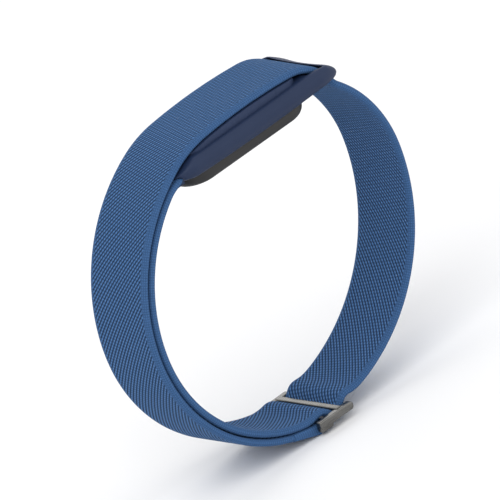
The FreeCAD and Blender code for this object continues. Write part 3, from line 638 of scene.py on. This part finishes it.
def strap_mesh(name: str, spots: Sequence[tuple[float, float]], shape: StrapShape) -> bpy.types.Mesh:
    """Sweeps a strap along a line.

    Args:
        name: the mesh's name.
        spots: the line in the XZ plane, in millimetres.
        shape: the strap's sizes.

    Returns:
        A closed mesh in metres with a UV map of metres along and across.
    """
    line, out, at = resampled(spots, 0.55)
    ring, across = strap_outline(shape)
    stations = [(line[i], out[i], at[i], 1.0, 0.0) for i in range(len(line))]
    if shape.round_end:
        ahead = np.array([out[-1][1], -out[-1][0]])
        for angle in np.linspace(0, math.pi / 2, 8)[1:]:
            push = shape.thickness / 2 * math.sin(angle)
            stations.append(
                (line[-1] + ahead * push, out[-1], at[-1] + push, max(math.cos(angle), 0.04), push)
            )
    points, uvs = [], []
    for spot, outward, length, squeeze, inset in stations:
        narrow = 1 - inset * 0.06 / shape.width
        for (y, h), v in zip(ring, across):
            points.append(
                (
                    (spot[0] + outward[0] * h * squeeze) * MM,
                    y * narrow * MM,
                    (spot[1] + outward[1] * h * squeeze) * MM
                )
            )
            uvs.append(((shape.start + length) * MM, v * MM))
    size = len(ring)
    faces = [list(range(size)), [(len(stations) - 1) * size + i for i in range(size)]]
    for row in range(len(stations) - 1):
        for i in range(size):
            j = (i + 1) % size
            faces.append([row * size + i, row * size + j, (row + 1) * size + j, (row + 1) * size + i])
    mesh = bpy.data.meshes.new(name)
    mesh.from_pydata(points, [], faces)
    outward_normals(mesh)
    layer = mesh.uv_layers.new(name="Strap")
    corners = np.empty(len(mesh.loops), int)
    mesh.loops.foreach_get("vertex_index", corners)
    layer.data.foreach_set("uv", np.array(uvs)[corners].ravel())
    return mesh


def outward_normals(mesh: bpy.types.Mesh) -> None:
    """Turns every face of a closed mesh outward."""
    work = bmesh.new()
    work.from_mesh(mesh)
    bmesh.ops.recalc_face_normals(work, faces=work.faces)
    work.to_mesh(mesh)
    work.free()


def rounded(corners: Sequence[tuple[float, float, float]], steps: int = 6) -> list[tuple[float, float]]:
    """A polygon with an arc at each corner.

    Args:
        corners: each corner's place and radius.
        steps: the pieces of each arc.

    Returns:
        The outline's points.
    """
    outline = []
    for i, (x, z, radius) in enumerate(corners):
        here = Vector((x, z))
        before = (Vector(corners[i - 1][:2]) - here).normalized()
        after = (Vector(corners[(i + 1) % len(corners)][:2]) - here).normalized()
        half = before.angle(after) / 2
        centre = here + (before + after).normalized() * (radius / math.sin(half))
        first = here + before * (radius / math.tan(half)) - centre
        last = here + after * (radius / math.tan(half)) - centre
        sweep = math.atan2(first.x * last.y - first.y * last.x, first.dot(last))
        for k in range(steps + 1):
            turned = Matrix.Rotation(sweep * k / steps, 2) @ first
            outline.append(tuple(centre + turned))
    return outline


def plate(
    work: bmesh.types.BMesh, outline: Sequence[tuple[float, float]], low: float, high: float, edge: float
) -> None:
    """Adds a plate that stands along Y, with softened rims.

    Args:
        work: the mesh it goes into.
        outline: its shape in the XZ plane, in millimetres.
        low: its nearer face.
        high: its further face.
        edge: the softening of its rims.
    """
    base = [work.verts.new((x * MM, low * MM, z * MM)) for x, z in outline]
    face = work.faces.new(base)
    grown = bmesh.ops.extrude_face_region(work, geom=[face])
    moved = [v for v in grown["geom"] if isinstance(v, bmesh.types.BMVert)]
    bmesh.ops.translate(work, verts=moved, vec=(0, (high - low) * MM, 0))
    rims = [e for v in (*base, *moved) for e in v.link_edges if abs(e.verts[0].co.y - e.verts[1].co.y) < 1e-9]
    bmesh.ops.bevel(work, geom=list(set(rims)), offset=edge * MM, segments=3, profile=0.5, affect="EDGES")


# ---------------------------------------------------------------- sub-assemblies


@dataclass
class Strap:
    """The woven band: the outer layer, the right side and the inner layer with its clamped tongue.

    Args:
        paints: the material maker.
        lines: the band's middle lines.
    """

    paints: Paints
    lines: BandLines

    def build(self) -> None:
        """Makes the three stretches."""
        cloth = self.paints.get(STRAP)
        outer = finished(
            "strap_outer", strap_mesh("strap_outer", self.lines.outer, StrapShape(start=200)), cloth
        )
        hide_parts("band_left_outer", "band_over_pod")
        right = finished("strap_right", strap_mesh("strap_right", self.lines.right, self._parted()), cloth)
        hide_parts("band_right")
        inner_shape = StrapShape(start=100, round_end=True)
        inner = finished("strap_inner", strap_mesh("strap_inner", self.lines.inner, inner_shape), cloth)
        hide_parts("band_left_inner", "band_lower")
        for piece in (outer, inner):
            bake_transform(piece)
        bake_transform(right)

    def _parted(self) -> StrapShape:
        """The right side's shape, whose weave ends where the inner layer's starts."""
        raw = np.array(self.lines.right)
        length = float(np.linalg.norm(np.diff(raw, axis=0), axis=1).sum())
        return StrapShape(start=100 - length)


@dataclass(frozen=True)
class SliderSizes:
    """The slider's sizes in millimetres."""

    left: float = -4.6
    right: float = 4.2
    top: float = -32.8
    rail: float = 1.6
    lug: float = 0.8
    lug_end: float = -1.2
    inner: float = 8.85
    outer: float = 10.35
    bar_x: float = -3.2
    bar_long: float = 2.0
    bar_high: float = 0.8
    ply: float = 0.6
    ply_gap: float = 0.1


@dataclass
class Slider:
    """The metal slider, the strap's sewn end round its bar, and the stitches.

    Args:
        paints: the material maker.
        lines: the band's middle lines.
        sizes: the slider's sizes.
    """

    paints: Paints
    lines: BandLines
    sizes: SliderSizes = SliderSizes()

    def build(self) -> None:
        """Makes the slider's pieces, which all ride on it."""
        for piece in (self._metal(), self._sewn_end(), self._stitches()):
            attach(piece, "slider")

    def _metal(self) -> bpy.types.Object:
        """Two rails, the loop bar, the bar on the wrist side and the tail bar."""
        s = self.sizes
        low, lug = s.top - s.rail, s.top - s.rail - s.lug
        work = bmesh.new()
        rail = rounded([(s.left, s.top, 0.3), (s.right, s.top, 0.6), (s.right, low, 0.7), (s.left, low, 0.3)])
        heel = rounded(
            [
                (s.left, low + 0.5, 0.2),
                (s.lug_end + 0.4, low + 0.5, 0.2),
                (s.lug_end - 0.3, lug, 0.4),
                (s.left, lug, 0.5)
            ]
        )
        for side in (-1, 1):
            for outline, inner, outer, rim in (
                (rail, s.inner, s.outer, 0.25), (heel, s.inner, s.outer - 0.45, 0.2)
            ):
                ends = sorted((side * inner, side * outer))
                plate(work, outline, ends[0], ends[1], rim)
        reach = (s.inner + s.outer) / 2
        bars = (
            (s.bar_x, lug + s.bar_high / 2, s.bar_long, s.bar_high),
            (BAND.bar_x, s.top - 0.12, 1.3, 0.7),
            (s.right - 0.5, low + 0.3, 1.0, 0.6),
        )
        for x, z, length, height in bars:
            a, b, r = length / 2, height / 2, height * 0.42
            plate(
                work,
                rounded([(x - a, z - b, r), (x - a, z + b, r), (x + a, z + b, r), (x + a, z - b, r)]),
                -reach,
                reach,
                0.1
            )
        bmesh.ops.recalc_face_normals(work, faces=work.faces)
        mesh = bpy.data.meshes.new("slider")
        work.to_mesh(mesh)
        work.free()
        piece = finished("slider", mesh, self.paints.get(GUNMETAL))
        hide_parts("slider_frame")
        return piece

    def _fold(self) -> tuple[Vector, Vector, Vector]:
        """The sewn end's start, its outward direction and the bar's centre."""
        line, out, _ = resampled(self.lines.outer, 0.5)
        s = self.sizes
        bar = Vector((s.bar_x, s.top - s.rail - s.lug + s.bar_high / 2))
        return Vector(line[0]), Vector(out[0]), bar

    def _sewn_end(self) -> bpy.types.Object:
        """The strap's end, folded round the loop bar and sewn down onto itself."""
        s = self.sizes
        start, out, bar = self._fold()
        radius = s.bar_high / 2 + s.ply_gap + s.ply
        reach = s.bar_long / 2
        half = BAND.thickness / 2
        outline = [start - out * half, bar + Vector((-reach, radius)), bar + Vector((reach, radius))]
        outline += [
            bar + Vector(
                (reach + radius * math.sin(a), radius * math.cos(a))
            ) for a in np.linspace(0, math.pi, 13)[1:]
        ]
        outline += [bar + Vector((-reach, -radius)), start + out * half]
        work = bmesh.new()
        plate(work, [tuple(p) for p in outline], -BAND.width / 2, BAND.width / 2, 0.5)
        bmesh.ops.recalc_face_normals(work, faces=work.faces)
        layer = work.loops.layers.uv.new("Strap")
        for face in work.faces:
            for corner in face.loops:
                corner[layer].uv = (0.3 - corner.vert.co.x, corner.vert.co.y)
        mesh = bpy.data.meshes.new("sewn_end")
        work.to_mesh(mesh)
        work.free()
        piece = finished("sewn_end", mesh, self.paints.get(STRAP))
        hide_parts("band_end_loop")
        return piece

    def _stitches(self) -> bpy.types.Object:
        """Rows of stitches across the sewn end's outer face."""
        start, out, bar = self._fold()
        s = self.sizes
        radius = s.bar_high / 2 + s.ply_gap + s.ply
        a, b = start + out * 0.72, bar + Vector((-s.bar_long / 2 - 0.6, -radius))
        along = (b - a).normalized()
        centre = (a + b) / 2
        across = Vector((0, 1, 0))
        x_axis = Vector((-along.x, 0, -along.y))
        turn = Matrix((x_axis, across, x_axis.cross(across))).transposed().to_4x4()
        place = Matrix.Translation(Vector((centre.x, 0, centre.y)) * MM) @ turn
        mesh = stitch_rows(
            self.paints.get(THREAD), rows=3, count=17, row_pitch=0.8, pitch=0.9, length=0.72, radius=0.11
        )
        mesh.transform(place)
        piece = finished("sewn_stitches", mesh, self.paints.get(THREAD), 180)
        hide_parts("bar_tack")
        return piece


def stitch_rows(
    material: bpy.types.Material,
    rows: int,
    count: int,
    row_pitch: float,
    pitch: float,
    length: float,
    radius: float,
) -> bpy.types.Mesh:
    """Rows of stitches in the XY plane, from a Geometry Nodes group.

    Args:
        material: the thread's material.
        rows: the number of rows along X.
        count: the stitches of a row along Y.
        row_pitch: between rows.
        pitch: between stitches.
        length: of a stitch.
        radius: of the thread.

    Returns:
        A plain mesh in metres.
    """
    tree = bpy.data.node_groups.new("StitchRows", "GeometryNodeTree")
    names = {"Rows": "NodeSocketInt", "Stitches": "NodeSocketInt", "Row Span": "NodeSocketFloat",
             "Stitch Span": "NodeSocketFloat", "Stitch Size": "NodeSocketVector", "Seed": "NodeSocketInt"}
    sockets = {
        name: tree.interface.new_socket(name, in_out="INPUT", socket_type=kind) for name,
        kind in names.items()
    }
    tree.interface.new_socket("Geometry", in_out="OUTPUT", socket_type="NodeSocketGeometry")
    graph = Graph(tree)
    given, made = graph.node("NodeGroupInput"), graph.node("NodeGroupOutput")
    grid = graph.node("GeometryNodeMeshGrid")
    for target, source in (
        ("Size X", "Row Span"), ("Size Y", "Stitch Span"), ("Vertices X", "Rows"), ("Vertices Y", "Stitches")
    ):
        graph.put(grid.inputs[target], given.outputs[source])
    bead = graph.node("GeometryNodeMeshUVSphere")
    bead.inputs["Segments"].default_value = 12
    bead.inputs["Rings"].default_value = 8
    bead.inputs["Radius"].default_value = 1.0
    tilt = graph.node("FunctionNodeRandomValue", data_type="FLOAT_VECTOR")
    tilt.inputs[0].default_value = (0.0, 0.0, -0.10)
    tilt.inputs[1].default_value = (0.0, 0.0, 0.10)
    graph.put(tilt.inputs["Seed"], given.outputs["Seed"])
    lay = graph.node("GeometryNodeInstanceOnPoints")
    graph.put(lay.inputs["Points"], grid.outputs["Mesh"])
    graph.put(lay.inputs["Instance"], bead.outputs["Mesh"])
    graph.put(lay.inputs["Rotation"], tilt.outputs[0])
    graph.put(lay.inputs["Scale"], given.outputs["Stitch Size"])
    real = graph.node("GeometryNodeRealizeInstances")
    graph.put(real.inputs[0], lay.outputs[0])
    paint = graph.node("GeometryNodeSetMaterial")
    graph.put(paint.inputs["Geometry"], real.outputs[0])
    paint.inputs["Material"].default_value = material
    graph.put(made.inputs[0], paint.outputs[0])
    holder = bpy.data.objects.new("stitch_maker", bpy.data.meshes.new("stitch_maker"))
    bpy.context.scene.collection.objects.link(holder)
    modifier = holder.modifiers.new("StitchRows", "NODES")
    modifier.node_group = tree
    values = {"Rows": rows, "Stitches": count, "Row Span": row_pitch * (rows - 1) * MM,
              "Stitch Span": pitch * (count - 1) * MM,
              "Stitch Size": (radius * MM, length / 2 * MM, radius * MM), "Seed": 7}
    for name, value in values.items():
        modifier[sockets[name].identifier] = value
    bpy.context.view_layer.update()
    solved = holder.evaluated_get(bpy.context.evaluated_depsgraph_get())
    mesh = bpy.data.meshes.new_from_object(solved)
    bpy.data.objects.remove(holder)
    return mesh


def smooth_step(value: np.ndarray, low: float, high: float) -> np.ndarray:
    """0 below low, 1 above high and a smooth rise between."""
    part = np.clip((value - low) / (high - low), 0, 1)
    return part * part * (3 - 2 * part)


def softened(source: bpy.types.Object, voxel: float, passes: int) -> bpy.types.Mesh:
    """A copy of a CAD node's shape with every edge moulded soft.

    Args:
        source: the node.
        voxel: the fineness of the new surface, in millimetres.
        passes: how often it is smoothed.

    Returns:
        The new mesh, in the frame's coordinates.
    """
    mesh = source.data.copy()
    mesh.transform(source.matrix_world)
    work = bmesh.new()
    work.from_mesh(mesh)
    bmesh.ops.remove_doubles(work, verts=work.verts, dist=1e-7)
    work.to_mesh(mesh)
    work.free()
    holder = bpy.data.objects.new("soft_maker", mesh)
    bpy.context.scene.collection.objects.link(holder)
    grid = holder.modifiers.new("grid", "REMESH")
    grid.mode, grid.voxel_size = "VOXEL", voxel * MM
    ease = holder.modifiers.new("ease", "SMOOTH")
    ease.factor, ease.iterations = 0.5, passes
    bpy.context.view_layer.update()
    solved = holder.evaluated_get(bpy.context.evaluated_depsgraph_get())
    result = bpy.data.meshes.new_from_object(solved)
    bpy.data.objects.remove(holder)
    return result


@dataclass
class Carrier:
    """The carrier's moulded frame, whose end bar droops like a nose.

    Args:
        paints: the material maker.
        source: the CAD frame.
    """

    paints: Paints
    source: bpy.types.Object

    def build(self) -> None:
        """Makes the frame's smooth shell."""
        mesh = softened(self.source, 0.22, 10)
        spots = np.empty(len(mesh.vertices) * 3)
        mesh.vertices.foreach_get("co", spots)
        x, y, z = (spots.reshape(-1, 3) / MM).T
        nose = smooth_step(x, 24.0, 29.8)
        sag = (1 - np.clip(np.abs(x - 8.2) / 21, 0, 1) ** 2) * (1 - smooth_step(z, 24.9, 27.2))
        beside = smooth_step(np.abs(y), 9.0, 9.4)
        height = np.clip((z - 24.9) / 3.7, 0, 1)
        brow = 0.62 * np.clip(x - 26.9, 0, None) * (0.1 + 0.9 * height)
        rim = smooth_step(np.abs(y), 9.2, 10.6)
        shaped = np.stack([
            x + nose * (0.35 + 1.1 * np.clip(np.abs(y) / 9, 0, 1) ** 2),
            y - np.sign(y) * rim * 0.5 * np.clip(np.abs(z - 26.2) / 2.4, 0, 1) ** 2,
            z - 0.5 * nose - brow - 0.45 * sag * beside,
        ], axis=1)
        mesh.vertices.foreach_set("co", (shaped * MM).ravel())
        mesh.update()
        piece = finished("carrier_shell", mesh, self.paints.get(NAVY), 180)
        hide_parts("carrier_frame")
        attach(piece, "band")


@dataclass
class Hardware:
    """The carrier, the pod and what is in it, which keep their CAD shapes.

    Args:
        paints: the material maker.
        nodes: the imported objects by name.
    """

    paints: Paints
    nodes: dict[str, bpy.types.Object]

    def build(self) -> None:
        """Gives each shown CAD node its material."""
        for name, finish in NODE_FINISHES.items():
            node = self.nodes[name]
            material = self.paints.get(finish)
            if not node.material_slots:
                node.data.materials.append(material)
            for slot in node.material_slots:
                slot.material = material


# ---------------------------------------------------------------- the studio


@dataclass(frozen=True)
class Lamp:
    """A soft area lamp that points at the object.

    Args:
        name: its name.
        spot: where it stands, in metres.
        power: in watts.
        size: of its square, in metres.
    """

    name: str
    spot: tuple[float, float, float]
    power: float
    size: float


LAMPS = (
    Lamp("key", (-0.55, -0.45, 0.75), 5.0, 1.0),
    Lamp("fill", (0.6, -0.7, 0.35), 2.4, 1.1),
    Lamp("rim", (0.3, 0.7, 0.6), 2.4, 1.0),
)


@dataclass
class Studio:
    """Floor, sky, lamps and camera."""

    aim: Vector = field(default_factory=lambda: Vector((0.00213, 0.00026, 0.00084)))

    def build(self) -> None:
        """Sets up everything round the object."""
        self._floor()
        self._sky()
        for lamp in LAMPS:
            self._lamp(lamp)
        self._camera()

    def _floor(self) -> None:
        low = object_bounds()[0][2] - 0.1 * MM
        mesh = bpy.data.meshes.new("floor")
        side = 2.5
        mesh.from_pydata(
            [(-side, -side, low), (side, -side, low), (side, side, low), (-side, side, low)],
            [],
            [(0, 1, 2, 3)]
        )
        material = bpy.data.materials.new("floor")
        material.use_nodes = True
        shader = material.node_tree.nodes["Principled BSDF"]
        shader.inputs["Base Color"].default_value = (0.96, 0.96, 0.96, 1.0)
        shader.inputs["Roughness"].default_value = 0.9
        shader.inputs["Specular IOR Level"].default_value = 0.1
        mesh.materials.append(material)
        floor = bpy.data.objects.new("floor", mesh)
        bpy.context.scene.collection.objects.link(floor)
        floor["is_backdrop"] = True

    def _sky(self) -> None:
        world = bpy.data.worlds.new("studio")
        bpy.context.scene.world = world
        world.use_nodes = True
        graph = Graph(world.node_tree)
        path = graph.node("ShaderNodeLightPath")
        seen = graph.math("MAXIMUM", path.outputs["Is Camera Ray"], path.outputs["Is Glossy Ray"])
        seen = graph.math("MAXIMUM", seen, path.outputs["Is Transmission Ray"])
        tone = graph.blend(seen, (0.70, 0.70, 0.71), (1.0, 1.0, 1.0))
        graph.put(world.node_tree.nodes["Background"].inputs["Color"], tone)

    def _lamp(self, lamp: Lamp) -> None:
        light = bpy.data.lights.new(lamp.name, "AREA")
        light.energy, light.size = lamp.power, lamp.size
        stand = bpy.data.objects.new(lamp.name, light)
        stand.location = lamp.spot
        stand.rotation_euler = (self.aim - Vector(lamp.spot)).to_track_quat("-Z", "Y").to_euler()
        bpy.context.scene.collection.objects.link(stand)

    def _camera(self) -> None:
        lens = bpy.data.cameras.new("camera")
        lens.type = "ORTHO"
        lens.ortho_scale = 0.09602
        lens.clip_start, lens.clip_end = 0.01, 10.0
        camera = bpy.data.objects.new("camera", lens)
        back = Vector((-0.4957, -0.782, 0.3775)).normalized()
        up = Vector((0.5026, 0.0961, 0.8591))
        right = up.cross(back).normalized()
        turn = Matrix((right, back.cross(right), back)).transposed().to_4x4()
        camera.matrix_world = Matrix.Translation(self.aim + back * 0.6) @ turn
        bpy.context.scene.collection.objects.link(camera)
        bpy.context.scene.camera = camera


def main() -> None:
    """Builds the whole scene."""
    logging.basicConfig(level=logging.INFO, format="%(name)s: %(message)s")
    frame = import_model()
    paints = Paints()
    lines = band_lines()
    Strap(paints, lines).build()
    Slider(paints, lines).build()
    Carrier(paints, frame["nodes"]["carrier_frame"]).build()
    Hardware(paints, frame["nodes"]).build()
    Studio().build()
    bpy.context.scene.view_settings.view_transform = "Standard"
    bpy.context.view_layer.update()


if __name__ == "__main__":
    main()
